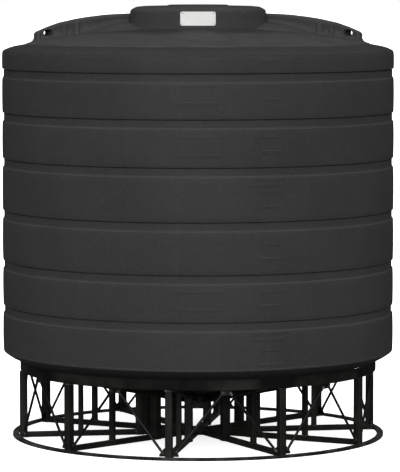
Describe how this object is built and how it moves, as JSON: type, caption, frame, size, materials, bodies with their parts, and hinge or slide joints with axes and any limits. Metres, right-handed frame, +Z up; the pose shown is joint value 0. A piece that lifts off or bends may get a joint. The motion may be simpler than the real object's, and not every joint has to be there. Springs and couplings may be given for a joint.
{
  "type": "vertical storage tank",
  "caption": "Tall black moulded storage tank with a grooved wall, raised crown and lifting ridges, on a round steel stand with radial legs and rod braces.",
  "frame": {"origin": "centre of the stand on the ground, on the tank's vertical axis", "axes": "+Z up along the tank's axis; the front with the plate faces -Y; the lifting ridges lie along X"},
  "size_m": [3.6, 3.6, 3.97],
  "materials": {
    "moulded_plastic": "matt black rotationally moulded polyethylene",
    "plate_white": "plain white plate with no lettering",
    "painted_steel": "near-black paint on welded steel, semi-gloss"
  },
  "bodies": {
    "root": {"base_hub": "painted_steel", "base_ring": "painted_steel", "bottom_outlet": "moulded_plastic", "brace_pair_01": "painted_steel", "brace_pair_02": "painted_steel", "brace_pair_03": "painted_steel", "brace_pair_04": "painted_steel", "brace_pair_05": "painted_steel", "brace_pair_06": "painted_steel", "brace_pair_07": "painted_steel", "brace_pair_08": "painted_steel", "brace_pair_09": "painted_steel", "brace_pair_10": "painted_steel", "cone_hub": "painted_steel", "front_plate": "plate_white", "lifting_ridge_left": "moulded_plastic", "lifting_ridge_right": "moulded_plastic", "manway_lid": "moulded_plastic", "outer_leg_01": "painted_steel", "outer_leg_02": "painted_steel", "outer_leg_03": "painted_steel", "outer_leg_04": "painted_steel", "outer_leg_05": "painted_steel", "outer_leg_06": "painted_steel", "outer_leg_07": "painted_steel", "outer_leg_08": "painted_steel", "outer_leg_09": "painted_steel", "outer_leg_10": "painted_steel", "radial_frame_01": "painted_steel", "radial_frame_02": "painted_steel", "radial_frame_03": "painted_steel", "radial_frame_04": "painted_steel", "radial_frame_05": "painted_steel", "radial_frame_06": "painted_steel", "radial_frame_07": "painted_steel", "radial_frame_08": "painted_steel", "radial_frame_09": "painted_steel", "radial_frame_10": "painted_steel", "roof_crown": "moulded_plastic", "tank_cone": "moulded_plastic", "tank_roof": "moulded_plastic", "tank_wall": "moulded_plastic", "top_ring": "painted_steel"}
  },
  "joints": []
}
